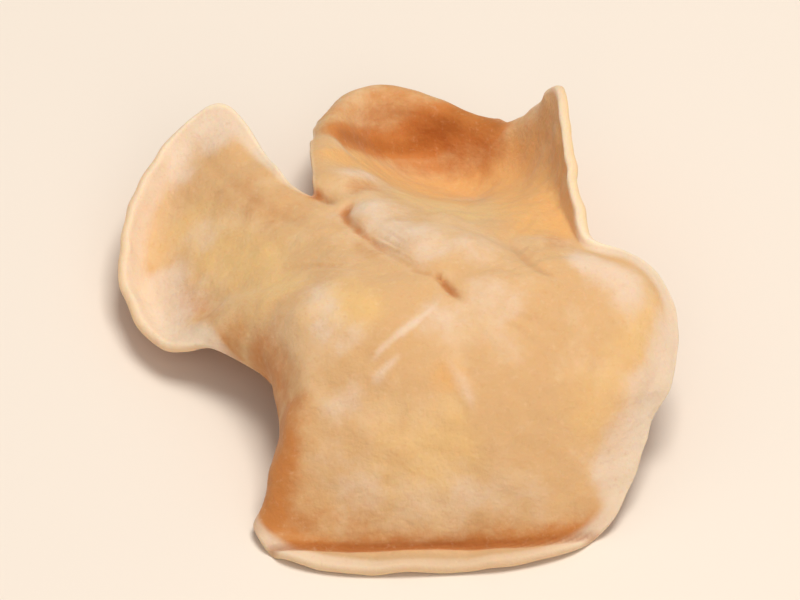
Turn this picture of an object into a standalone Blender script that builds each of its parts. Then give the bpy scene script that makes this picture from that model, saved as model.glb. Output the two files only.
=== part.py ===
"""Wood ear mushroom, one dried pale ear, grown as one piece.

The ear lies with its outer side up and its hollow down. It is a thin sheet around the small
pinch where it grew on the wood: a skirt falls to the surface in front, a flap droops on one
side, a scoop curls up at the back, a narrow fin stands beside it, and a lobe closes the round.

Metres, +Z up. The origin is on the surface that the ear rests on, below the middle of its box.
"""

import bpy
import numpy as np

MM = 0.001

SHEET_THICKNESS = 1.1 * MM

# How many times each face of the cage is halved to round the form.
FINENESS = 2

# The block below the resting surface, wider than the ear and this deep.
CUTTER_WIDTH = 80 * MM
CUTTER_DEPTH = 10 * MM

# Numbers from here to the end of STATIONS are millimetres in the ear's own grid: x to the
# right, y from the skirt's edge to the back, z up. GRID_MIDDLE is the middle of the footprint,
# and REST_LEVEL is the height at which the lowest places are worn flat.
GRID_MIDDLE = (-0.18, 20.02)
REST_LEVEL = 0.12

# The pinch, where the ear grew on the wood, and the radius of the small loop around it. The
# loop falls from the pinch by PINCH_FALL of the slope further out, and its points are moved by
# PINCH_EVENNESS of the way from the stations' directions to even steps.
PINCH = (3.2, 12.5, 13.7)
PINCH_RADIUS = 3.8
PINCH_FALL = 0.45
PINCH_EVENNESS = 0.5

# Each station is a line from the margin to the pinch: a point on the margin, one on the hem just
# inside it, one on the shoulder a few millimetres further in, and one in the middle. They go
# round the ear once, clockwise from above.
STATIONS = (
    ((-11.6, -0.6, 0.5), (-10.4, 0.6, 0.9), (-9.0, 1.4, 3.2), (-3.2, 5.6, 10.0)),  # skirt, left corner
    ((-7.6, 5.0, 0.9), (-8.8, 4.0, 3.6), (-7.4, 4.8, 7.4), (-5.1, 7.7, 11.3)),  # skirt, left side
    ((-7.0, 9.2, 2.6), (-8.2, 8.6, 6.0), (-7.0, 9.4, 9.2), (-6.3, 10.1, 11.8)),
    ((-9.8, 14.4, 4.4), (-10.7, 13.6, 6.6), (-9.2, 13.6, 9.2), (-6.8, 12.3, 12.0)),  # beside the flap
    ((-14.2, 15.6, 4.6), (-13.6, 16.4, 5.2), (-12.8, 17.4, 6.2), (-6.8, 14.3, 11.7)),  # flap, near edge
    ((-17.0, 16.2, 2.9), (-16.4, 17.8, 2.3), (-15.6, 19.6, 2.4), (-6.5, 15.8, 11.4)),  # flap, tip
    ((-19.6, 19.6, 3.4), (-18.5, 20.8, 1.9), (-17.0, 22.2, 1.2), (-6.1, 17.0, 11.1)),
    ((-20.5, 25.4, 4.4), (-19.3, 25.6, 2.5), (-17.6, 25.8, 1.6), (-5.6, 18.0, 10.9)),
    ((-19.4, 30.6, 5.6), (-18.4, 29.9, 3.9), (-17.2, 29.0, 2.8), (-5.1, 18.8, 10.7)),
    ((-16.9, 35.0, 6.8), (-16.6, 33.2, 5.3), (-16.2, 31.2, 4.4), (-4.8, 19.2, 10.5)),
    ((-13.0, 38.3, 7.9), (-13.9, 35.0, 6.8), (-14.8, 31.6, 6.0), (-4.4, 19.7, 10.35)),  # flap, far corner
    ((-10.9, 34.8, 7.6), (-11.8, 32.2, 7.2), (-12.8, 29.4, 7.0), (-3.8, 20.3, 10.25)),
    ((-8.6, 29.0, 8.0), (-8.7, 27.9, 8.1), (-8.8, 26.8, 8.3), (-3.1, 20.9, 10.2)),
    ((-5.8, 25.2, 8.8), (-5.4, 24.6, 8.9), (-5.0, 24.0, 9.0), (-2.3, 21.5, 10.25)),  # notch and crease
    ((-6.6, 31.2, 8.2), (-5.4, 29.8, 8.9), (-4.0, 28.2, 9.0), (-1.3, 22.1, 10.6)),  # scoop, left edge
    ((-6.3, 35.2, 5.8), (-5.3, 34.8, 7.2), (-3.5, 33.8, 5.0), (-0.2, 22.6, 10.9)),
    ((-5.3, 40.8, 3.6), (-4.2, 39.2, 7.4), (-2.4, 37.8, 0.0), (1.0, 22.9, 11.0)),
    ((-1.4, 43.4, 2.6), (-1.0, 41.2, 7.3), (0.0, 39.4, -3.6), (2.2, 23.0, 10.9)),  # scoop, lip
    ((3.2, 42.4, 2.2), (2.8, 40.2, 6.2), (3.0, 38.8, -4.0), (3.4, 23.0, 10.8)),
    ((6.8, 39.6, 2.6), (6.2, 37.8, 5.0), (5.8, 36.2, -2.4), (4.6, 22.9, 10.7)),
    ((9.2, 37.8, 5.4), (8.7, 36.6, 6.4), (8.1, 34.6, 0.7), (5.8, 22.6, 10.6)),
    ((11.2, 36.4, 10.0), (10.8, 35.4, 8.4), (10.2, 33.2, 3.0), (7.0, 22.0, 10.5)),  # fin, foot
    ((11.6, 34.6, 12.8), (11.5, 33.4, 10.2), (11.2, 31.4, 6.0), (8.1, 21.1, 10.6)),  # fin, tip
    ((11.9, 29.2, 12.8), (11.9, 28.3, 10.6), (11.8, 27.4, 8.0), (8.9, 19.9, 10.9)),
    ((12.8, 22.8, 12.4), (12.6, 22.6, 11.1), (12.3, 22.4, 9.6), (9.6, 18.5, 11.4)),
    ((13.4, 18.2, 11.9), (13.1, 18.2, 11.5), (12.8, 18.2, 11.1), (10.1, 17.1, 12.0)),  # fin meets the lobe
    ((16.7, 18.6, 11.2), (15.8, 17.3, 11.9), (14.8, 15.8, 12.4), (10.6, 15.7, 12.6)),  # right lobe
    ((19.4, 16.6, 9.4), (18.1, 15.3, 10.4), (16.6, 13.8, 11.0), (11.0, 14.2, 12.9)),
    ((20.3, 12.8, 7.4), (18.8, 12.2, 8.6), (17.0, 11.4, 9.6), (11.1, 12.4, 12.8)),
    ((18.5, 8.4, 5.2), (17.5, 8.3, 6.8), (16.2, 8.2, 8.2), (10.9, 10.5, 12.2)),  # skirt, right margin
    ((16.3, 4.2, 2.6), (15.5, 4.5, 4.5), (14.4, 4.8, 6.4), (10.4, 8.6, 11.4)),
    ((15.4, 0.2, 0.6), (14.0, 1.2, 1.6), (12.4, 2.0, 4.4), (9.4, 6.5, 10.5)),  # skirt, right corner
    ((8.6, -3.0, 0.5), (8.2, -0.3, 0.4), (7.8, 0.2, 2.5), (7.2, 4.8, 9.9)),  # skirt, front lip
    ((1.6, -3.2, 0.5), (2.0, -0.4, 0.4), (2.2, 0.0, 2.3), (4.0, 3.9, 9.5)),
    ((-5.4, -3.6, 0.5), (-4.4, -0.4, 0.4), (-3.8, 0.1, 2.4), (0.2, 4.1, 9.5)),
)

FLESH_COLOUR = (0.78, 0.55, 0.30, 1.0)
FLESH_ROUGHNESS = 0.8


def clear_scene():
    """Removes whatever the open file holds."""
    for thing in list(bpy.data.objects):
        bpy.data.objects.remove(thing, do_unlink=True)


def make_material(name, colour, roughness):
    """A plain Principled material."""
    material = bpy.data.materials.new(name)
    material.use_nodes = True
    shader = material.node_tree.nodes["Principled BSDF"]
    shader.inputs["Base Color"].default_value = colour
    shader.inputs["Roughness"].default_value = roughness
    shader.inputs["Metallic"].default_value = 0.0
    return material


def cage_rings():
    """The five loops of the cage, from the pinch outwards, in metres about the origin.

    Four of them are the stations' points. The innermost is a circle around the pinch. Its
    points lie between the directions of the middle ones and even steps, and they fall away
    from the pinch by a share of the slope out to the middle ones.
    """
    stations = np.array(STATIONS)
    margin, hem, shoulder, middle = np.moveaxis(stations, 1, 0)
    away = middle - np.array(PINCH)
    slope = away[:, 2] / np.linalg.norm(away[:, :2], axis=1)
    turn = np.unwrap(np.arctan2(away[:, 1], away[:, 0]))
    even = np.linspace(0.0, -2 * np.pi, len(stations), endpoint=False)
    turn += PINCH_EVENNESS * (even + np.mean(turn - even) - turn)
    spoke = np.stack((np.cos(turn), np.sin(turn), slope * PINCH_FALL), axis=1)
    inner = np.array(PINCH) + PINCH_RADIUS * spoke
    origin = np.array((*GRID_MIDDLE, REST_LEVEL))
    return [(ring - origin) * MM for ring in (inner, middle, shoulder, hem, margin)]


def sheet_mesh(name, rings):
    """An open sheet of four-sided faces between neighbouring loops, closed by one face inside."""
    count = len(rings[0])
    corners = np.concatenate(rings)
    faces = [tuple(range(count))[::-1]]
    for ring in range(len(rings) - 1):
        for station in range(count):
            here = ring * count + station
            beside = ring * count + (station + 1) % count
            faces.append((here, beside, beside + count, here + count))
    mesh = bpy.data.meshes.new(name)
    mesh.from_pydata(corners.tolist(), [], faces)
    mesh.update()
    return mesh


def rest_cutter(collection):
    """The block under the resting surface, which cuts the lowest places flat."""
    bpy.ops.mesh.primitive_cube_add(size=1.0)
    cutter = bpy.context.active_object
    cutter.name = "rest_cutter"
    cutter.scale = (CUTTER_WIDTH, CUTTER_WIDTH, CUTTER_DEPTH)
    cutter.location = (0.0, 0.0, -CUTTER_DEPTH / 2)
    cutter.hide_render = True
    cutter.display_type = "WIRE"
    for old in list(cutter.users_collection):
        old.objects.unlink(cutter)
    collection.objects.link(cutter)
    return cutter


def make_ear(collection, cutter):
    """The ear: the cage smoothed, given its thickness, and cut flat where it rests."""
    ear = bpy.data.objects.new("ear", sheet_mesh("ear", cage_rings()))
    collection.objects.link(ear)
    ear.data.materials.append(make_material("dried ear flesh", FLESH_COLOUR, FLESH_ROUGHNESS))
    ear.data.shade_smooth()

    smooth = ear.modifiers.new("soft form", "SUBSURF")
    smooth.levels = FINENESS
    smooth.render_levels = FINENESS

    sheet = ear.modifiers.new("sheet", "SOLIDIFY")
    sheet.thickness = SHEET_THICKNESS
    sheet.offset = 0.0
    sheet.use_quality_normals = True

    rest = ear.modifiers.new("rest", "BOOLEAN")
    rest.operation = "DIFFERENCE"
    rest.solver = "EXACT"
    rest.object = cutter
    return ear


def main():
    clear_scene()
    parts = bpy.data.collections.new("wood ear mushroom")
    cutters = bpy.data.collections.new("cutters")
    bpy.context.scene.collection.children.link(parts)
    bpy.context.scene.collection.children.link(cutters)
    make_ear(parts, rest_cutter(cutters))


main()
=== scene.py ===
"""Wood ear mushroom: one dried pale ear, lying on its hollow side.

The ear is one surface, smooth between named stations round it. It is wrapped in its thickness,
with a rounded margin, and carries the creases, veins and cockles that drying leaves. Its
colours, painted shade and highlights among them, are laid on as soft strokes and drifting
patches.
"""

import bpy
import numpy as np
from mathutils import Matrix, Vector


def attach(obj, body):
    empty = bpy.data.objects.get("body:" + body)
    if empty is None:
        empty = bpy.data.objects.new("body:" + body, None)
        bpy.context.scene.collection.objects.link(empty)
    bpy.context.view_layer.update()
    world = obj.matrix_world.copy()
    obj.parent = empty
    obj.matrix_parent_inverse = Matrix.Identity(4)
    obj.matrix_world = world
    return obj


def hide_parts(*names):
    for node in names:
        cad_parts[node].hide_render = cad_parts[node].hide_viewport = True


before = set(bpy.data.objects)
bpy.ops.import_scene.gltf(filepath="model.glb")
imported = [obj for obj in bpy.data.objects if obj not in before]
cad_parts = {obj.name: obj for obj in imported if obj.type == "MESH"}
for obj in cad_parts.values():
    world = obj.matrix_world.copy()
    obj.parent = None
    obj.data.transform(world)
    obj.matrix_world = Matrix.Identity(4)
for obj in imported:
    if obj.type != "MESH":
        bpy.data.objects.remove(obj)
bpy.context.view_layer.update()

MM = 0.001

# How the ear is divided: points round it, and points from the pinch to the margin on each side
# and across the margin's round. The first points lie FIRST_SHARE of the way out from the pinch.
AROUND = 560
OUTWARD = 80
ACROSS_MARGIN = 9
FIRST_SHARE = 0.012

# The sheet in millimetres: half its thickness in the middle and at the margin, where it is
# thinner, and how far in from the margin it thins. MARGIN_BULGE is how far the margin's round
# stands out, as a share of HALF_MARGIN.
HALF_SHEET = 0.46
HALF_MARGIN = 0.38
MARGIN_REACH = 1.1
MARGIN_BULGE = 0.7

# How much the thickness wavers, as a share of it, and the waves' length in millimetres and seed.
THICKNESS_WAVER = 0.07
THICKNESS_WAVES = (3.6, 17)

# Numbers from here to the end of STATIONS are millimetres in the ear's own grid: x to the
# right, y from the skirt's edge to the back, z up. GRID_MIDDLE is the middle of the footprint,
# and REST_LEVEL is the height at which the lowest places are worn flat.
GRID_MIDDLE = (-0.18, 20.02)
REST_LEVEL = 0.12

# The pinch, where the ear grew on the wood, and the radius of the small loop around it. The
# loop falls from the pinch by PINCH_FALL of the slope further out, and its points are moved by
# PINCH_EVENNESS of the way from the stations' directions to even steps.
PINCH = (3.2, 12.5, 13.7)
PINCH_RADIUS = 3.8
PINCH_FALL = 0.45
PINCH_EVENNESS = 0.5

# Each station is a line from the margin to the pinch: a point on the margin, one on the hem just
# inside it, one on the shoulder a few millimetres further in, and one in the middle. They go
# round the ear once, clockwise from above.
STATIONS = (
    ((-11.6, -0.6, 0.5), (-10.4, 0.6, 0.9), (-9.0, 1.4, 3.2), (-3.2, 5.6, 10.0)),  # skirt, left corner
    ((-7.6, 5.0, 0.9), (-8.8, 4.0, 3.6), (-7.4, 4.8, 7.4), (-5.1, 7.7, 11.3)),  # skirt, left side
    ((-7.0, 9.2, 2.6), (-8.2, 8.6, 6.0), (-7.0, 9.4, 9.2), (-6.3, 10.1, 11.8)),
    ((-9.8, 14.4, 4.4), (-10.7, 13.6, 6.6), (-9.2, 13.6, 9.2), (-6.8, 12.3, 12.0)),  # beside the flap
    ((-14.2, 15.6, 4.6), (-13.6, 16.4, 5.2), (-12.8, 17.4, 6.2), (-6.8, 14.3, 11.7)),  # flap, near edge
    ((-17.0, 16.2, 2.9), (-16.4, 17.8, 2.3), (-15.6, 19.6, 2.4), (-6.5, 15.8, 11.4)),  # flap, tip
    ((-19.6, 19.6, 3.4), (-18.5, 20.8, 1.9), (-17.0, 22.2, 1.2), (-6.1, 17.0, 11.1)),
    ((-20.5, 25.4, 4.4), (-19.3, 25.6, 2.5), (-17.6, 25.8, 1.6), (-5.6, 18.0, 10.9)),
    ((-19.4, 30.6, 5.6), (-18.4, 29.9, 3.9), (-17.2, 29.0, 2.8), (-5.1, 18.8, 10.7)),
    ((-16.9, 35.0, 6.8), (-16.6, 33.2, 5.3), (-16.2, 31.2, 4.4), (-4.8, 19.2, 10.5)),
    ((-13.0, 38.3, 7.9), (-13.9, 35.0, 6.8), (-14.8, 31.6, 6.0), (-4.4, 19.7, 10.35)),  # flap, far corner
    ((-10.9, 34.8, 7.6), (-11.8, 32.2, 7.2), (-12.8, 29.4, 7.0), (-3.8, 20.3, 10.25)),
    ((-8.6, 29.0, 8.0), (-8.7, 27.9, 8.1), (-8.8, 26.8, 8.3), (-3.1, 20.9, 10.2)),
    ((-5.8, 25.2, 8.8), (-5.4, 24.6, 8.9), (-5.0, 24.0, 9.0), (-2.3, 21.5, 10.25)),  # notch and crease
    ((-6.6, 31.2, 8.2), (-5.4, 29.8, 8.9), (-4.0, 28.2, 9.0), (-1.3, 22.1, 10.6)),  # scoop, left edge
    ((-6.3, 35.2, 5.8), (-5.3, 34.8, 7.2), (-3.5, 33.8, 5.0), (-0.2, 22.6, 10.9)),
    ((-5.3, 40.8, 3.6), (-4.2, 39.2, 7.4), (-2.4, 37.8, 0.0), (1.0, 22.9, 11.0)),
    ((-1.4, 43.4, 2.6), (-1.0, 41.2, 7.3), (0.0, 39.4, -3.6), (2.2, 23.0, 10.9)),  # scoop, lip
    ((3.2, 42.4, 2.2), (2.8, 40.2, 6.2), (3.0, 38.8, -4.0), (3.4, 23.0, 10.8)),
    ((6.8, 39.6, 2.6), (6.2, 37.8, 5.0), (5.8, 36.2, -2.4), (4.6, 22.9, 10.7)),
    ((9.2, 37.8, 5.4), (8.7, 36.6, 6.4), (8.1, 34.6, 0.7), (5.8, 22.6, 10.6)),
    ((11.2, 36.4, 10.0), (10.8, 35.4, 8.4), (10.2, 33.2, 3.0), (7.0, 22.0, 10.5)),  # fin, foot
    ((11.6, 34.6, 12.8), (11.5, 33.4, 10.2), (11.2, 31.4, 6.0), (8.1, 21.1, 10.6)),  # fin, tip
    ((11.9, 29.2, 12.8), (11.9, 28.3, 10.6), (11.8, 27.4, 8.0), (8.9, 19.9, 10.9)),
    ((12.8, 22.8, 12.4), (12.6, 22.6, 11.1), (12.3, 22.4, 9.6), (9.6, 18.5, 11.4)),
    ((13.4, 18.2, 11.9), (13.1, 18.2, 11.5), (12.8, 18.2, 11.1), (10.1, 17.1, 12.0)),  # fin meets the lobe
    ((16.7, 18.6, 11.2), (15.8, 17.3, 11.9), (14.8, 15.8, 12.4), (10.6, 15.7, 12.6)),  # right lobe
    ((19.4, 16.6, 9.4), (18.1, 15.3, 10.4), (16.6, 13.8, 11.0), (11.0, 14.2, 12.9)),
    ((20.3, 12.8, 7.4), (18.8, 12.2, 8.6), (17.0, 11.4, 9.6), (11.1, 12.4, 12.8)),
    ((18.5, 8.4, 5.2), (17.5, 8.3, 6.8), (16.2, 8.2, 8.2), (10.9, 10.5, 12.2)),  # skirt, right margin
    ((16.3, 4.2, 2.6), (15.5, 4.5, 4.5), (14.4, 4.8, 6.4), (10.4, 8.6, 11.4)),
    ((15.4, 0.2, 0.6), (14.0, 1.2, 1.6), (12.4, 2.0, 4.4), (9.4, 6.5, 10.5)),  # skirt, right corner
    ((8.6, -3.0, 0.5), (8.2, -0.3, 0.4), (7.8, 0.2, 2.5), (7.2, 4.8, 9.9)),  # skirt, front lip
    ((1.6, -3.2, 0.5), (2.0, -0.4, 0.4), (2.2, 0.0, 2.3), (4.0, 3.9, 9.5)),
    ((-5.4, -3.6, 0.5), (-4.4, -0.4, 0.4), (-3.8, 0.1, 2.4), (0.2, 4.1, 9.5)),
)

# How wide the pale band along the margin is, in millimetres, one number for each station.
PALE_BAND = (
    1.1, 0.1, 0.1, 0.0, 1.3, 3.4, 3.2, 2.2, 2.4, 3.2, 3.2, 1.6, 0.7, 0.3, 0.3, 0.3, 0.3,
    0.3, 0.3, 0.3, 0.3, 0.3, 0.3, 0.3, 0.3, 0.9, 1.5, 1.3, 1.3, 2.0, 2.2, 1.0, 0.6, 0.6, 0.9,
)

# How pale the margin's own round is painted, from 0 to 1, one number for each station: its own
# pale edge, and a painted highlight where the edge is lit, strongest along the fin.
PALE_RIM_AND_HIGHLIGHT = (
    0.0, 0.0, 0.0, 0.1, 0.2, 0.2, 0.25, 0.3, 0.4, 0.5, 0.6, 0.8, 0.6, 0.3, 0.2, 0.5, 0.6,
    0.5, 0.3, 0.0, 0.1, 0.6, 1.0, 1.0, 1.0, 1.0, 0.7, 0.4, 0.3, 0.2, 0.1, 0.1, 0.1, 0.1, 0.1,
)

# Folds in the sheet: height in millimetres (a groove is below zero), half width, and the path
# seen from above, in the ear's grid.
FOLDS = (
    (-0.42, 0.42, ((-7.4, 28.2), (-6.3, 26.7), (-5.0, 25.4), (-4.2, 24.2))),  # notch
    (-0.34, 0.45, ((-2.7, 24.9), (-3.9, 24.0), (-3.9, 22.6), (-2.9, 20.6), (-1.6, 18.4))),  # curl and crease
    (-0.22, 0.50, ((-2.6, 20.2), (-1.7, 18.5), (0.0, 15.6), (2.4, 13.5))),  # crease, on to the pinch
    (-0.15, 0.60, ((-5.0, 22.6), (-4.2, 21.0), (-2.8, 17.6), (-1.2, 14.2))),  # a weaker crease beside it
    (-0.42, 0.42, ((2.2, 14.6), (3.0, 13.1), (3.7, 11.9), (5.4, 10.6))),  # pinch
    (-0.20, 0.45, ((0.2, 14.7), (1.6, 14.0), (3.0, 13.4))),  # pinch, left arm
    (0.30, 1.00, ((-6.0, 26.8), (-4.6, 27.9), (-3.0, 29.0), (-1.2, 30.2))),  # ridge in front of the scoop
    (-0.18, 0.70, ((-4.6, 25.2), (-2.6, 26.6), (-0.9, 28.2))),  # groove in front of that
    (0.36, 1.20, ((-3.0, 24.2), (-2.0, 22.4), (-0.5, 19.6), (1.0, 17.4), (2.4, 15.4))),  # ridge by the crease
    (0.60, 1.90, ((4.4, 14.8), (5.4, 16.8), (6.6, 19.0))),  # swelling behind the pinch
    (-0.14, 0.60, ((3.0, 14.4), (3.1, 16.8), (3.4, 19.6))),  # groove between the two
    (-0.26, 0.50, ((7.2, 20.0), (8.6, 16.4), (9.6, 14.2), (11.8, 13.6))),  # groove at the fin's foot
    (0.11, 0.45, ((3.8, 12.0), (1.4, 9.5), (-0.6, 8.4), (-3.0, 6.6))),  # veins on the skirt
    (0.18, 0.60, ((0.6, 7.9), (-2.5, 5.7), (-6.4, 4.8))),
    (0.18, 0.50, ((2.6, 8.2), (4.6, 5.6), (5.8, 3.6))),
    (-0.14, 0.70, ((1.0, 8.8), (-0.2, 5.6), (-2.0, 3.0))),
    (-0.12, 0.80, ((13.6, 14.0), (12.2, 11.2), (12.4, 8.7), (11.4, 6.1), (11.8, 3.0))),  # dip down the lobe
    (-0.20, 0.70, ((-14.8, 34.6), (-12.7, 30.1), (-9.4, 25.6), (-6.6, 22.2))),  # flap, along its far edge
    (-0.14, 1.00, ((-14.8, 33.4), (-16.6, 30.2), (-16.9, 26.8),
                   (-15.4, 22.6), (-13.6, 18.6), (-12.4, 15.8))),  # flap, inside its margin
    (-0.50, 0.36, ((-11.4, -1.0), (-8.4, -1.2), (-5.0, -1.2), (-1.0, -1.0),
                   (3.0, -0.9), (7.4, -0.9), (11.4, -0.6), (15.4, 0.6))),  # crease above the front lip
    (0.24, 0.90, ((-9.8, -1.9), (-3.3, -2.4), (2.2, -2.5), (7.7, -2.3), (13.0, -0.9))),  # roll of the lip
)

# The length over which a fold or a stroke fades at each end, in millimetres. One too short for
# that fades over 1 / SHORT_STROKE of its length. Each path is drawn through STROKE_POINTS points.
STROKE_END = 2.2
SHORT_STROKE = 2.5
STROKE_POINTS = 24

# Cockles all over, and waves along the margin: height, length and how far in from the margin
# they reach, in millimetres, and a seed. Each sums WAVE_COUNT plane waves.
COCKLES = (
    (0.10, 7.0, np.inf, 3),
    (0.055, 3.2, np.inf, 5),
    (0.030, 1.7, np.inf, 6),
    (0.12, 4.5, 3.0, 8),
    (0.07, 2.4, 1.2, 9),
)
WAVE_COUNT = 14

# Fine ridges that run outwards from the pinch: the fewest and the most in a round, how many such
# rounds are summed, how far they drift, in radians, and their seed.
PUCKERS = (26, 62)
PUCKER_ROUNDS = 12
PUCKER_DRIFT = 7.0
PUCKER_SEED = 14

# In millimetres: the puckers' height, how far from the pinch they are strongest, and over what
# distance they fade either side of that. They are gone where they would lie PUCKER_CROWDED
# apart, and whole where they lie PUCKER_ROOM further apart than that. They come and go in
# patches, of a length and a seed.
PUCKER_HEIGHT = 0.045
PUCKER_PLACE = 8.0
PUCKER_SPREAD = 5.0
PUCKER_CROWDED = 0.35
PUCKER_ROOM = 0.5
PUCKER_PATCHES = (9.0, 12)

# Colours laid on in soft strokes: strength, half width and path, as for the folds.
# Pale hair on the flap, the lobe and the skirt, and a painted highlight along the raised ridges,
# the swelling behind the pinch and the veins.
BLOOM_AND_HIGHLIGHT = (
    (0.95, 2.0, ((-17.6, 26.0), (-16.6, 21.8), (-14.8, 17.6))),
    (0.85, 1.8, ((-15.0, 37.0), (-13.2, 34.6), (-13.2, 31.8))),
    (0.45, 1.8, ((-15.0, 28.8), (-14.0, 26.0), (-13.0, 23.8))),
    (0.75, 1.5, ((-15.4, 36.0), (-16.0, 33.0), (-16.4, 30.2))),
    (0.58, 1.1, ((-5.4, 27.6), (-3.4, 28.6), (-1.0, 29.8))),
    (0.56, 2.0, ((-3.6, 25.4), (-2.0, 22.4), (0.0, 19.4), (1.9, 16.5), (3.4, 14.6))),
    (0.46, 2.6, ((3.4, 14.8), (5.4, 16.4), (6.8, 18.6))),
    (0.42, 2.4, ((3.6, 13.4), (7.0, 11.4), (8.8, 9.4))),
    (0.85, 1.5, ((11.2, 15.2), (13.4, 16.0), (15.6, 15.3), (17.2, 11.6))),
    (0.50, 1.4, ((-6.6, 15.6), (-5.2, 11.4), (-3.9, 9.4), (-2.6, 7.4))),
    (0.62, 1.0, ((-6.2, 11.6), (-5.2, 10.0), (-4.4, 8.6))),
    (0.60, 0.35, ((3.9, 12.0), (1.4, 9.5), (-0.6, 8.4), (-2.8, 6.6))),
    (0.45, 2.0, ((0.4, 10.2), (2.8, 9.8), (5.4, 9.2))),
    (0.48, 0.35, ((0.8, 8.0), (-0.8, 6.8), (-2.4, 5.8))),
    (0.50, 1.0, ((-1.8, 6.0), (-3.8, 5.3), (-6.4, 4.8))),
    (0.34, 0.5, ((2.6, 8.2), (4.6, 5.6), (5.8, 3.6))),
    (0.30, 2.6, ((1.4, 10.8), (4.4, 9.2), (6.6, 9.4), (8.6, 6.0))),
    (0.32, 1.1, ((-6.0, 4.2), (-3.9, 1.6), (-1.4, 1.1), (3.0, 1.1), (7.0, 1.1), (12.0, 2.0))),
    (0.75, 1.2, ((19.6, 15.0), (18.3, 10.4), (16.9, 7.5), (15.6, 4.7), (13.4, 1.2))),
)

# Honey is where the flesh shows yellow through the hair.
HONEY = (
    (0.68, 2.6, ((-16.4, 30.0), (-13.6, 24.6), (-11.0, 22.0), (-9.4, 18.6), (-8.0, 13.0))),
    (0.70, 2.1, ((-6.2, 14.4), (-3.8, 11.2), (-0.6, 9.2))),
    (0.95, 2.6, ((-1.6, 27.4), (3.6, 27.0), (9.0, 23.6))),
    (0.80, 1.6, ((0.8, 23.4), (3.6, 23.2), (7.4, 22.2))),
    (0.50, 2.4, ((-2.8, 3.8), (0.6, 2.8), (2.8, 2.4), (6.4, 5.2))),
    (0.45, 1.8, ((18.0, 16.0), (17.7, 12.6), (16.0, 9.6), (13.2, 6.6), (11.6, 3.4))),
)

# Tan: painted warm shade on the scoop and the fin's inner wall, where shade falls, and a tan
# patch on the skirt.
TAN_AND_SHADE = (
    (0.95, 3.0, ((7.4, 35.6), (8.8, 31.6), (9.8, 28.0), (10.4, 22.8), (10.6, 18.2))),
    (0.90, 3.2, ((-4.8, 32.4), (-1.6, 33.0), (2.0, 33.4), (6.0, 32.8))),
    (0.50, 2.2, ((-1.6, 29.6), (2.4, 29.4), (7.2, 28.4))),
    (0.90, 1.5, ((-5.4, 32.6), (-4.2, 31.2), (-2.6, 30.4))),
    (0.95, 2.4, ((0.8, 35.0), (4.6, 35.2), (7.6, 34.6), (9.8, 32.4))),
    (0.50, 1.2, ((1.4, 6.6), (3.4, 6.0), (5.6, 6.6))),
)

# Painted shade along the front lip, which turns down to the floor: a dull, greyer tan.
LIP_SHADE = (
    (0.95, 1.2, ((-11.6, -1.8), (-9.8, -2.2), (-3.3, -2.7), (2.2, -2.8),
                 (7.7, -2.6), (13.0, -1.4), (14.6, -0.8))),
)

# Deep is painted shade, orange as shade in the thin flesh looks: on the steep left side, in the
# scoop, along the line above the front lip, and in the notch, creases, pinch and furrows.
PAINTED_SHADE = (
    (0.60, 1.3, ((-14.2, 15.4), (-12.2, 14.8), (-10.0, 13.4))),
    (0.68, 1.3, ((-11.2, 14.4), (-9.4, 11.8), (-8.2, 9.0), (-7.9, 6.0))),
    (0.88, 1.6, ((-8.4, 8.0), (-8.0, 5.2), (-8.4, 2.0), (-9.6, -1.4))),
    (0.66, 1.2, ((-13.6, 0.6), (-9.6, 0.9), (-7.0, 0.4), (-4.8, -0.4))),
    (0.28, 1.0, ((-8.0, 1.6), (-4.0, 0.2), (-0.4, -0.2))),
    (0.62, 0.7, ((-11.0, -0.2), (-6.0, -0.5), (-2.0, -0.55), (2.0, -0.55),
                 (7.0, -0.4), (12.0, 0.2), (15.0, 1.4))),
    (0.92, 0.45, ((-13.0, -0.4), (-8.0, -0.9), (-4.0, -0.9), (1.9, -0.9),
                  (7.0, -0.7), (12.0, -0.2), (16.6, 2.2))),
    (1.36, 1.1, ((-5.4, 33.4), (-4.2, 35.6), (-2.0, 38.0), (1.0, 39.6),
                 (3.8, 39.7), (6.4, 38.7), (9.0, 36.8))),
    (0.60, 1.8, ((-2.4, 36.0), (1.0, 38.0), (4.0, 38.0), (6.8, 37.2), (8.8, 35.8))),
    (0.45, 1.6, ((-6.0, 35.6), (-3.6, 39.8), (0.4, 41.6), (4.2, 40.8), (7.6, 38.4))),
    (0.85, 0.55, ((-7.4, 27.8), (-6.3, 26.7), (-5.2, 25.7))),
    (0.75, 0.50, ((-2.7, 24.9), (-3.9, 24.0), (-3.9, 22.6), (-3.2, 21.2))),
    (0.50, 0.45, ((-3.6, 22.4), (-2.9, 20.6), (-1.6, 18.4), (-0.4, 16.4))),
    (0.32, 1.10, ((-3.4, 20.4), (-2.2, 17.6), (-0.8, 15.4))),
    (0.60, 0.40, ((2.2, 14.6), (3.0, 13.1), (3.7, 11.9), (4.6, 11.0))),
    (0.36, 0.40, ((0.4, 14.7), (1.6, 14.0), (3.0, 13.4))),
    (0.54, 1.1, ((-4.8, 25.0), (-2.6, 26.6), (-0.8, 28.4))),
    (0.34, 1.2, ((9.8, 21.0), (10.6, 19.0), (11.2, 17.4), (12.2, 16.4))),
    (0.26, 1.7, ((-13.0, 31.4), (-10.8, 27.0), (-8.2, 24.4), (-5.6, 22.8))),
    (0.40, 1.2, ((-15.6, 22.8), (-14.4, 19.4), (-12.6, 15.6))),
)

# The strokes by the names that their masks have on the mesh.
STROKES = {"bloom_and_highlight": BLOOM_AND_HIGHLIGHT, "honey": HONEY, "tan": TAN_AND_SHADE, "lip_shade": LIP_SHADE, "deep": PAINTED_SHADE}

# The pale card underneath: its side and how far below the ear it lies, in metres, and its colour.
FLOOR_SIDE = 6.0
FLOOR_GAP = 0.02 * MM
FLOOR_COLOUR = "#efe6dc"

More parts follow.
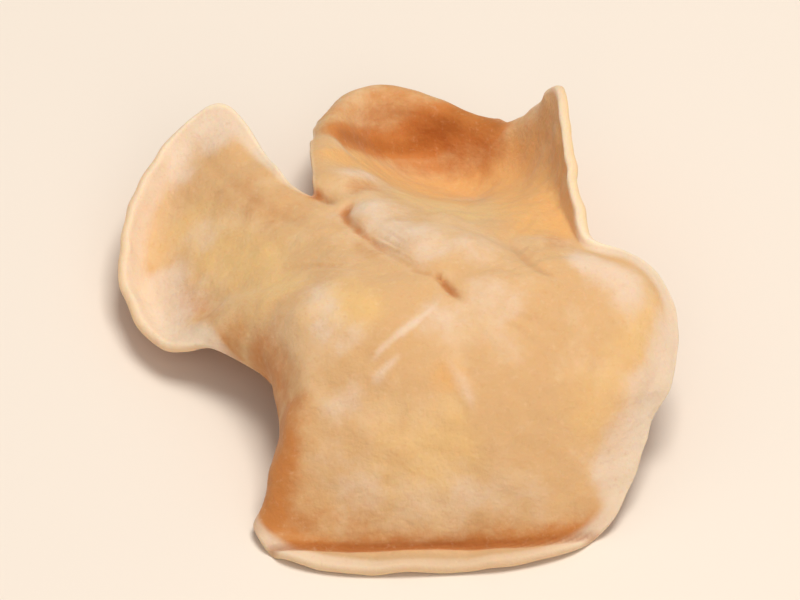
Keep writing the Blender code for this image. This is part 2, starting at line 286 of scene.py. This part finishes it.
# The lights, aimed at LIT_PLACE: name, place and side in metres, watts and colour.
LIGHTS = (
    ("key", (0.09, 0.0, 0.59), 0.24, 2.68, "#fbf5ec"),
    ("fill", (0.10, -0.50, 0.40), 0.50, 0.95, "#fff6ec"),
)
LIT_PLACE = (0.0, 0.0, 0.005)
ROOM_COLOUR = "#f6efe8"
ROOM_STRENGTH = 0.36

# The photograph looks down at CAMERA_DOWN from CAMERA_DISTANCE away, and one of its pixels is
# PIXEL_SIZE at the ear. The picture is a window WINDOW_PIXELS of them wide about MIDDLE_PIXEL,
# where the ear is MIDDLE_HEIGHT high. GRID_PIXEL is where the ear's grid begins.
CAMERA_DOWN = np.radians(45.0)
CAMERA_DISTANCE = 0.8
PIXEL_SIZE = 0.36 * MM
WINDOW_PIXELS = 160
MIDDLE_PIXEL = (414.0, 452.0)
GRID_PIXEL = (414.0, 500.0)
MIDDLE_HEIGHT = 6.0 * MM


def cage_rings():
    """The five loops of the cage, from the pinch outwards, in the ear's grid.

    Four of them are the stations' points. The innermost is a circle around the pinch. Its
    points lie between the directions of the middle ones and even steps, and they fall away
    from the pinch by a share of the slope out to the middle ones.
    """
    stations = np.array(STATIONS)
    margin, hem, shoulder, middle = np.moveaxis(stations, 1, 0)
    away = middle - np.array(PINCH)
    slope = away[:, 2] / np.linalg.norm(away[:, :2], axis=1)
    turn = np.unwrap(np.arctan2(away[:, 1], away[:, 0]))
    even = np.linspace(0.0, -2 * np.pi, len(stations), endpoint=False)
    turn += PINCH_EVENNESS * (even + np.mean(turn - even) - turn)
    spoke = np.stack((np.cos(turn), np.sin(turn), slope * PINCH_FALL), axis=1)
    inner = np.array(PINCH) + PINCH_RADIUS * spoke
    return inner, middle, shoulder, hem, margin


def spline_weights(t):
    """A uniform cubic B-spline's weights for four neighbours, t of the way past the second."""
    return np.stack(((1 - t) ** 3, 3 * t**3 - 6 * t**2 + 4, -3 * t**3 + 3 * t**2 + 3 * t + 1, t**3)) / 6


def read_round(loop, turn):
    """A closed cubic B-spline through a loop of values, read at turn, counted in stations."""
    start = np.floor(turn).astype(int)
    weights = spline_weights(turn - start)
    return sum(weights[k][:, None] * loop[(start + k - 1) % len(loop)] for k in range(4))


def radial_points(turn):
    """Each radial line's eight points: one past the pinch, the pinch, five loops, one past the margin.

    The innermost loop is split into a flat circle and the heights left over. The point past the
    pinch mirrors the circle but repeats the heights, so the sheet is level where the lines meet.
    """
    inner, middle, shoulder, hem, margin = (read_round(ring, turn) for ring in cage_rings())
    pole = inner.mean(axis=0)
    spoke = inner - pole
    tilt = np.linalg.lstsq(spoke[:, :2], spoke[:, 2], rcond=None)[0]
    bent = np.zeros_like(spoke)
    bent[:, 2] = spoke[:, 2] - spoke[:, :2] @ tilt
    past_pinch = 2 * pole - (inner - bent) + bent
    past_margin = 2 * margin - hem
    return np.stack((past_pinch, pole - bent / 2, inner, middle, shoulder, hem, margin, past_margin))


def sheet_middle(turn, share):
    """The middle of the sheet, as rows from the pinch outwards by columns round it.

    Each column is a cubic B-spline through its radial points. A row is the share of the way
    from the pinch to where the margin's round begins, by length along the column.
    """
    points = radial_points(turn)
    lengths = np.linalg.norm(np.diff(points[1:7], axis=0), axis=2)
    begins = np.concatenate((np.zeros((1, len(turn))), np.cumsum(lengths, axis=0)[:-1]))
    reach = lengths.sum(axis=0) - HALF_MARGIN * MARGIN_BULGE
    way = share[:, None] * reach
    place = sum(np.clip((way - begins[k]) / lengths[k], 0.0, 1.0) for k in range(len(lengths)))
    step = np.minimum(place.astype(int), len(lengths) - 1)
    weights = spline_weights(place - step)
    column = np.arange(len(turn))
    return sum(weights[k][..., None] * points[step + k, column] for k in range(4))


def grid_normals(points):
    """Unit normals of a grid closed round its columns, from its neighbours' differences."""
    along = np.roll(points, -1, axis=1) - np.roll(points, 1, axis=1)
    outward = np.gradient(points, axis=0)
    normal = np.cross(along, outward)
    return normal / np.linalg.norm(normal, axis=2, keepdims=True)


def waves(points, length, seed):
    """Soft irregular waves about zero: a sum of plane waves of one length in seeded directions."""
    generator = np.random.default_rng(seed)
    directions = generator.normal(size=(WAVE_COUNT, 3))
    directions /= np.linalg.norm(directions, axis=1, keepdims=True)
    phases = generator.uniform(0.0, 2 * np.pi, WAVE_COUNT)
    return np.sin(points @ directions.T * (2 * np.pi / length) + phases).sum(axis=-1) / np.sqrt(WAVE_COUNT)


def puckers(turn, share):
    """Fine ridges that run outwards from the pinch, about zero.

    A sum of sin(n t + d s + p) with t the angle round the pinch, s the share of the way out, n
    the ridges in a round between the two of PUCKERS, and seeded drifts d and phases p.
    """
    generator = np.random.default_rng(PUCKER_SEED)
    ridges = generator.integers(PUCKERS[0], PUCKERS[1] + 1, PUCKER_ROUNDS)
    drifts = generator.normal(scale=PUCKER_DRIFT, size=PUCKER_ROUNDS)
    phases = generator.uniform(0.0, 2 * np.pi, PUCKER_ROUNDS)
    angle = turn * 2 * np.pi / len(STATIONS)
    steps = angle[None, :, None] * ridges + share[:, None, None] * drifts + phases
    return np.sin(steps).sum(axis=-1) / np.sqrt(PUCKER_ROUNDS)


def pucker_strength(middle):
    """Where the puckers show, from 0 to 1: in patches of waves, and less where they crowd.

    (1 + w) / 2 times (d - PUCKER_CROWDED) / PUCKER_ROOM, each kept between 0 and 1, with w the
    waves and d how far apart the most ridges in a round would lie here.
    """
    strength = np.clip(0.5 + 0.5 * waves(middle, *PUCKER_PATCHES), 0.0, 1.0)
    apart = np.linalg.norm(np.roll(middle, -1, axis=1) - middle, axis=2) * AROUND / PUCKERS[1]
    return strength * np.clip((apart - PUCKER_CROWDED) / PUCKER_ROOM, 0.0, 1.0)


def smooth_path(corners):
    """A cubic B-spline that starts and ends at the path's ends, as STROKE_POINTS points.

    The last point lies a billionth of a step before the end, so that it still has a step.
    """
    corners = np.array(corners)
    padded = np.concatenate(([2 * corners[0] - corners[1]], corners, [2 * corners[-1] - corners[-2]]))
    place = np.linspace(0.0, len(corners) - 1 - 1e-9, STROKE_POINTS)
    step = place.astype(int)
    weights = spline_weights(place - step)
    return sum(weights[k][:, None] * padded[step + k] for k in range(4))


def stroke_profile(points, path, half_width):
    """1 on a path seen from above, falling off as a bell over half_width, and to 0 at its ends.

    exp(-(d / half_width)^2) (3 e^2 - 2 e^3), with d the distance from the path and e the share
    of the fade that is done, from 0 at an end to 1 past the fade.
    """
    places = smooth_path(path)
    length = np.linalg.norm(np.diff(places, axis=0), axis=1).sum()
    nearest = np.full(points.shape[:2], np.inf)
    along = np.zeros(points.shape[:2])
    for k in range(len(places) - 1):
        stretch = places[k + 1] - places[k]
        share = np.clip((points[..., :2] - places[k]) @ stretch / (stretch @ stretch), 0.0, 1.0)
        gap = np.linalg.norm(points[..., :2] - places[k] - share[..., None] * stretch, axis=-1)
        closer = gap < nearest
        nearest = np.where(closer, gap, nearest)
        along = np.where(closer, (k + share) / (len(places) - 1), along)
    end = np.clip(np.minimum(along, 1 - along) * max(length / STROKE_END, SHORT_STROKE), 0.0, 1.0)
    return np.exp(-((nearest / half_width) ** 2)) * end**2 * (3 - 2 * end)


def painted_paths(points, paths):
    """The largest of several soft strokes at each point: strength times a bell across the path."""
    strokes = [strength * stroke_profile(points, path, half_width) for strength, half_width, path in paths]
    return np.max(strokes, axis=0)


def drying_relief(middle, inset, turn, share):
    """How far drying lifts the sheet off its smooth middle, and how deep its grooves are.

    The lift is the sum of each fold's height times its profile, of each cockle's height times
    its waves times exp(-inset / reach), and of the puckers.
    """
    groove = np.zeros_like(inset)
    relief = np.zeros_like(inset)
    for height, half_width, path in FOLDS:
        profile = stroke_profile(middle, path, half_width)
        relief += height * profile
        groove = np.maximum(groove, profile * max(-height, 0.0))
    for height, length, reach, seed in COCKLES:
        relief += height * waves(middle, length, seed) * np.exp(-inset / reach)
    distance = np.linalg.norm(middle - np.array(PINCH), axis=-1)
    near = np.exp(-((distance - PUCKER_PLACE) / PUCKER_SPREAD) ** 2)
    relief += PUCKER_HEIGHT * pucker_strength(middle) * puckers(turn, share) * near
    return relief, groove


def over_skin(values):
    """Values on the sheet, kept across the margin's round and repeated on the inner side."""
    return np.concatenate((values, np.repeat(values[-1:], ACROSS_MARGIN, axis=0), values[::-1]))


def ear_surface():
    """Points and masks of the whole skin: out along the outer side, round the margin, back inside.

    With m the smooth sheet, n its normal, r the folds and waves and h half the thickness, the
    outer side is m + (r + h) n and the inner side is m + (r - h) n. The margin between them is
    half an ellipse: m + r n + h (n sin a + b o cos a), where o points outwards and b is
    MARGIN_BULGE. The masks are outer_side, which is 1 outside and 0 inside, inset, the distance
    in from the margin in millimetres, and the band, rim, grooves and strokes of the tables.
    """
    turn = np.arange(AROUND) * len(STATIONS) / AROUND
    share = np.linspace(FIRST_SHARE, 1.0, OUTWARD)
    middle = sheet_middle(turn, share)
    normal = grid_normals(middle)

    steps = np.linalg.norm(np.diff(middle, axis=0), axis=2)
    covered = np.concatenate((np.zeros((1, AROUND)), np.cumsum(steps, axis=0)))
    inset = covered[-1] - covered

    relief, groove = drying_relief(middle, inset, turn, share)
    tints = {name: painted_paths(middle, paths) for name, paths in STROKES.items()}
    middle = middle + normal * relief[..., None]

    half = HALF_SHEET + (HALF_MARGIN - HALF_SHEET) * np.exp(-((inset / MARGIN_REACH) ** 2))
    half = half * (1 + THICKNESS_WAVER * waves(middle, *THICKNESS_WAVES))
    outer = middle + normal * half[..., None]
    inner = middle - normal * half[..., None]

    edge, edge_normal = middle[-1], normal[-1]
    outward = middle[-1] - middle[-2]
    outward -= edge_normal * (outward * edge_normal).sum(axis=1, keepdims=True)
    outward /= np.linalg.norm(outward, axis=1, keepdims=True)
    angle = np.linspace(np.pi / 2, -np.pi / 2, ACROSS_MARGIN + 2)[1:-1, None, None]
    round_edge = edge_normal * np.sin(angle) + MARGIN_BULGE * outward * np.cos(angle)
    margin = edge + half[-1][:, None] * round_edge

    skin = np.concatenate((outer, margin, inner[::-1]))
    band, rim = read_round(np.stack((PALE_BAND, PALE_RIM_AND_HIGHLIGHT), axis=1), turn).T
    masks = {
        "outer_side": np.concatenate((
            np.ones_like(inset),
            np.broadcast_to(0.5 + 0.5 * np.sin(angle[:, 0]), (ACROSS_MARGIN, AROUND)),
            np.zeros_like(inset),
        )),
        "inset": over_skin(inset),
        "band": over_skin(np.broadcast_to(band, inset.shape)),
        "rim": over_skin(np.broadcast_to(rim, inset.shape)),
        "groove": over_skin(groove),
    }
    for name, tint in tints.items():
        masks[name] = over_skin(tint)
    origin = np.array((*GRID_MIDDLE, REST_LEVEL))
    skin = (skin - origin) * MM
    skin[..., 2] = np.maximum(skin[..., 2], 0.0)
    return skin, masks


def closed_mesh(name, rows, masks):
    """A mesh of four-sided faces between rows that close round, each end closed by a point."""
    count = rows.shape[1]
    ends = np.stack((rows[0].mean(axis=0), rows[-1].mean(axis=0)))
    corners = np.concatenate((rows.reshape(-1, 3), ends))
    here = np.arange(count)
    beside = (here + 1) % count
    base = (np.arange(len(rows) - 1) * count)[:, None]
    quads = np.stack((base + here, base + beside, base + count + beside, base + count + here), axis=-1)
    last = (len(rows) - 1) * count
    first_fan = np.stack((np.full(count, len(corners) - 2), beside, here), axis=-1)
    last_fan = np.stack((np.full(count, len(corners) - 1), last + here, last + beside), axis=-1)
    faces = quads.reshape(-1, 4).tolist() + first_fan.tolist() + last_fan.tolist()

    mesh = bpy.data.meshes.new(name)
    mesh.from_pydata(corners.tolist(), [], faces)
    for mask, values in masks.items():
        values = np.concatenate((values.ravel(), (values[0].mean(), values[-1].mean())))
        layer = mesh.attributes.new(mask, "FLOAT", "POINT")
        layer.data.foreach_set("value", values.astype(np.float32))
    mesh.shade_smooth()
    mesh.update()
    return mesh


def linear(hex_colour):
    """An sRGB hex colour as the linear red, green, blue and alpha that Blender's sockets take."""
    levels = np.array([int(hex_colour[k:k + 2], 16) for k in (1, 3, 5)]) / 255
    red, green, blue = np.where(levels <= 0.04045, levels / 12.92, ((levels + 0.055) / 1.055) ** 2.4)
    return float(red), float(green), float(blue), 1.0


def per_metre(size_mm):
    """The scale of a pattern on Object coordinates whose features are size_mm apart."""
    return 1000.0 / size_mm


def add_node(tree, kind, inputs=(), **settings):
    """Adds a node with its settings. An input is a number, a colour, or another node's output."""
    node = tree.nodes.new(kind)
    for name, value in settings.items():
        setattr(node, name, value)
    for socket, value in dict(inputs).items():
        if isinstance(value, bpy.types.NodeSocket):
            tree.links.new(value, node.inputs[socket])
        else:
            node.inputs[socket].default_value = value
    return node


def painted(tree, ground, layers):
    """A ground colour with layers mixed over it in turn: a colour, and how much of it there is.

    A Mix node's inputs 0, 6 and 7 are the amount and the two colours, and output 2 is the mix.
    """
    for colour, amount in layers:
        ground = add_node(tree, "ShaderNodeMix", {0: amount, 6: ground, 7: linear(colour)},
                          data_type="RGBA").outputs[2]
    return ground


def patches(tree, place, size_mm, low, high, top):
    """Soft patches size_mm apart: 0 where their noise is below low, and top where it is above high."""
    noise = add_node(tree, "ShaderNodeTexNoise", {
        "Vector": place, "Scale": per_metre(size_mm), "Detail": 3.0, "Roughness": 0.55})
    return add_node(tree, "ShaderNodeMapRange", {
        "Value": noise.outputs["Fac"], "From Min": low, "From Max": high, "To Max": top},
        interpolation_type="SMOOTHSTEP").outputs["Result"]


def drifted(tree, place, mask, size_mm, low, high, top):
    """A mask whose edge wanders: 0 below low and top above high, once 0.9 of a noise is added.

    The noise runs from 0 to 1, so 0.45 is taken away and it moves the edge both ways.
    """
    noise = add_node(tree, "ShaderNodeTexNoise", {
        "Vector": place, "Scale": per_metre(size_mm), "Detail": 4.0, "Roughness": 0.6})
    moved = add_node(tree, "ShaderNodeMath", {0: noise.outputs["Fac"], 1: 0.9, 2: -0.45},
                     operation="MULTIPLY_ADD").outputs[0]
    total = add_node(tree, "ShaderNodeMath", {0: mask, 1: moved}, operation="ADD").outputs[0]
    return add_node(tree, "ShaderNodeMapRange", {
        "Value": total, "From Min": low, "From Max": high, "To Max": top},
        interpolation_type="SMOOTHSTEP").outputs["Result"]


def edging(tree, inset, near, far, top, amount=1.0):
    """A stripe along the margin, times amount: top as far in as near, then softly to 0 at far."""
    stripe = add_node(tree, "ShaderNodeMapRange", {
        "Value": inset, "From Min": near, "From Max": far, "To Min": top, "To Max": 0.0},
        interpolation_type="SMOOTHSTEP").outputs["Result"]
    return add_node(tree, "ShaderNodeMath", {0: amount, 1: stripe},
                    operation="MULTIPLY", use_clamp=True).outputs[0]


def hairy_side(tree, place, masks):
    """The colour of the outer side, from its ground to the tips of its hair.

    The order is the ground and its patches, the strokes, with painted shade and highlights among
    them, the pale band, the rim with its painted highlight, painted shade in the grooves, and last
    fine light and dark specks. The specks are tufts of hair, drawn at 0.5 and 0.4 mm and so coarser
    than they are, or they would not show.
    """
    share_of_band = add_node(tree, "ShaderNodeMath", {0: masks["inset"], 1: masks["band"]},
                             operation="DIVIDE").outputs[0]
    wide = add_node(tree, "ShaderNodeMapRange", {
        "Value": masks["band"], "From Min": 0.3, "From Max": 1.0}).outputs["Result"]
    # How much painted shade lies in the grooves.
    groove_shade = add_node(tree, "ShaderNodeMapRange", {
        "Value": masks["groove"], "From Min": 0.14, "From Max": 0.56, "To Max": 0.75}).outputs["Result"]
    return painted(tree, linear("#dab180"), (
        ("#e4c298", patches(tree, place, 5.0, 0.46, 0.62, 0.60)),
        ("#d7a976", patches(tree, place, 1.9, 0.54, 0.76, 0.32)),
        ("#e9c284", drifted(tree, place, masks["honey"], 2.6, 0.05, 0.75, 0.75)),
        # Painted warm shade on the scoop and the fin's wall, and a tan patch on the skirt.
        ("#e7b270", drifted(tree, place, masks["tan"], 2.2, 0.05, 0.80, 0.90)),
        # Pale hair, and painted highlights along the raised ridges and veins.
        ("#e7cfb7", drifted(tree, place, masks["bloom_and_highlight"], 2.2, 0.05, 0.80, 0.90)),
        # Painted shade along the front lip.
        ("#c6a57e", drifted(tree, place, masks["lip_shade"], 1.8, 0.05, 0.80, 0.90)),
        # Painted shade in steep and folded places, darker at its core.
        ("#c67d3c", drifted(tree, place, masks["deep"], 1.6, 0.05, 0.90, 0.92)),
        ("#a65f1e", drifted(tree, place, masks["deep"], 1.6, 0.85, 1.50, 0.62)),
        ("#e8d3bb", edging(tree, share_of_band, 0.45, 1.20, 0.85, wide)),
        # The pale rim, with a painted highlight where the edge is lit.
        ("#f9e6cd", edging(tree, masks["inset"], 0.0, 0.40, 0.85, masks["rim"])),
        # Painted shade in the grooves, darkest where they are deepest.
        ("#a8602f", groove_shade),
        ("#f0cfa8", patches(tree, place, 0.5, 0.55, 0.80, 0.22)),
        ("#c98f58", patches(tree, place, 0.4, 0.56, 0.80, 0.20)),
    ))


def bare_side(tree, place, masks):
    """The colour of the inner side: amber, in broad patches, and paler beside the margin."""
    return painted(tree, linear("#d99645"), (
        ("#c67c2c", patches(tree, place, 7.0, 0.45, 0.65, 0.60)),
        ("#eab968", patches(tree, place, 3.0, 0.52, 0.70, 0.55)),
        ("#f3d3a6", edging(tree, masks["inset"], 0.0, 0.9, 0.85)),
    ))


def dried_ear_flesh():
    """Jelly fungus flesh, air dried.

    The outer side is covered in fine short hair, which makes it matt, pale and velvety, with
    yellower flesh and pinkish pale patches showing through. Shade and highlights are painted into
    its colour too: a dull tan along the front lip, orange in steep and folded places, in the scoop
    and on the fin's wall, and pale along the raised ridges and veins. The inner side has no hair:
    amber, smooth and slightly glossy. The sheet is thin enough that light tints its shaded places.
    """
    material = bpy.data.materials.new("dried ear flesh")
    material.use_nodes = True
    tree = material.node_tree
    shader = tree.nodes["Principled BSDF"]
    place = add_node(tree, "ShaderNodeTexCoord").outputs["Object"]
    masks = {name: add_node(tree, "ShaderNodeAttribute", attribute_name=name).outputs["Fac"]
             for name in ("outer_side", "inset", "band", "rim", "groove", *STROKES)}

    velvet = hairy_side(tree, place, masks)
    amber = bare_side(tree, place, masks)
    colour = add_node(tree, "ShaderNodeMix", {0: masks["outer_side"], 6: amber, 7: velvet},
                      data_type="RGBA").outputs[2]
    tree.links.new(colour, shader.inputs["Base Color"])

    roughness = add_node(tree, "ShaderNodeMapRange", {
        "Value": masks["outer_side"], "To Min": 0.42, "To Max": 0.85}).outputs["Result"]
    tree.links.new(roughness, shader.inputs["Roughness"])
    shader.inputs["IOR"].default_value = 1.42
    shader.inputs["Specular IOR Level"].default_value = 0.35
    shader.inputs["Sheen Weight"].default_value = 0.12
    shader.inputs["Sheen Roughness"].default_value = 0.5
    shader.inputs["Subsurface Weight"].default_value = 0.35
    shader.inputs["Subsurface Radius"].default_value = (1.0, 0.45, 0.18)
    shader.inputs["Subsurface Scale"].default_value = 1.2 * MM

    # Hair this short stands about 0.1 mm apart. It is drawn at 0.3 mm, or it would not show.
    hair = add_node(tree, "ShaderNodeTexNoise", {
        "Vector": place, "Scale": per_metre(0.3), "Detail": 3.0}).outputs["Fac"]
    wrinkle = add_node(tree, "ShaderNodeTexNoise", {
        "Vector": place, "Scale": per_metre(1.3), "Detail": 3.0}).outputs["Fac"]
    soft = add_node(tree, "ShaderNodeBump", {
        "Height": wrinkle, "Distance": 0.15 * MM, "Strength": 1.0})
    fine = add_node(tree, "ShaderNodeBump", {
        "Height": hair, "Distance": 0.05 * MM, "Strength": 1.0, "Normal": soft.outputs["Normal"]})
    tree.links.new(fine.outputs["Normal"], shader.inputs["Normal"])
    return material


def make_ear():
    """The ear itself, in place of its solid."""
    skin, masks = ear_surface()
    ear = bpy.data.objects.new("wood_ear", closed_mesh("wood_ear", skin, masks))
    bpy.context.scene.collection.objects.link(ear)
    ear.data.materials.append(dried_ear_flesh())
    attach(ear, "root")
    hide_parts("ear")


def pale_card():
    """Plain matt card, which gives soft pale light back and no pattern."""
    material = bpy.data.materials.new("pale card")
    material.use_nodes = True
    shader = material.node_tree.nodes["Principled BSDF"]
    shader.inputs["Base Color"].default_value = linear(FLOOR_COLOUR)
    shader.inputs["Roughness"].default_value = 0.7
    return material


def make_floor():
    """A pale floor, a hair below the ear so that the two never share a plane."""
    bpy.ops.mesh.primitive_plane_add(size=FLOOR_SIDE, location=(0.0, 0.0, -FLOOR_GAP))
    floor = bpy.context.active_object
    floor.name = "floor"
    floor.data.materials.append(pale_card())


def aim(thing, place, target):
    """Puts a light or camera at a place, looking at a target."""
    thing.location = place
    thing.rotation_mode = "QUATERNION"
    thing.rotation_quaternion = (Vector(target) - Vector(place)).to_track_quat("-Z", "Y")


def make_light(name, place, side, watts, colour):
    """One soft square light, aimed at the ear."""
    lamp = bpy.data.lights.new(name, "AREA")
    lamp.shape = "SQUARE"
    lamp.size = side
    lamp.energy = watts
    lamp.color = linear(colour)[:3]
    light = bpy.data.objects.new(name, lamp)
    bpy.context.scene.collection.objects.link(light)
    aim(light, place, LIT_PLACE)


def make_studio():
    """A strong light above and to the right, a weak one in front, and a pale room."""
    for light in LIGHTS:
        make_light(*light)
    world = bpy.data.worlds.new("pale room")
    bpy.context.scene.world = world
    world.use_nodes = True
    background = world.node_tree.nodes["Background"]
    background.inputs["Color"].default_value = linear(ROOM_COLOUR)
    background.inputs["Strength"].default_value = ROOM_STRENGTH


def make_camera():
    """A long lens at the photograph's own distance, so that the ear keeps its perspective."""
    back = np.array((0.0, -np.cos(CAMERA_DOWN), np.sin(CAMERA_DOWN)))
    across = (MIDDLE_PIXEL[0] - GRID_PIXEL[0]) * PIXEL_SIZE
    rise = (GRID_PIXEL[1] - MIDDLE_PIXEL[1]) * PIXEL_SIZE / np.sin(CAMERA_DOWN)
    target = np.array((
        across - GRID_MIDDLE[0] * MM,
        rise - MIDDLE_HEIGHT - (GRID_MIDDLE[1] - REST_LEVEL) * MM,
        MIDDLE_HEIGHT,
    ))
    lens = bpy.data.cameras.new("camera")
    lens.sensor_width = 36.0
    lens.lens = lens.sensor_width * CAMERA_DISTANCE / (WINDOW_PIXELS * PIXEL_SIZE)
    lens.clip_start = 0.05
    lens.clip_end = 10.0
    camera = bpy.data.objects.new("camera", lens)
    bpy.context.scene.collection.objects.link(camera)
    aim(camera, target + back * CAMERA_DISTANCE, target)
    bpy.context.scene.camera = camera


make_ear()
make_floor()
make_studio()
make_camera()
bpy.context.scene.view_settings.view_transform = "Standard"
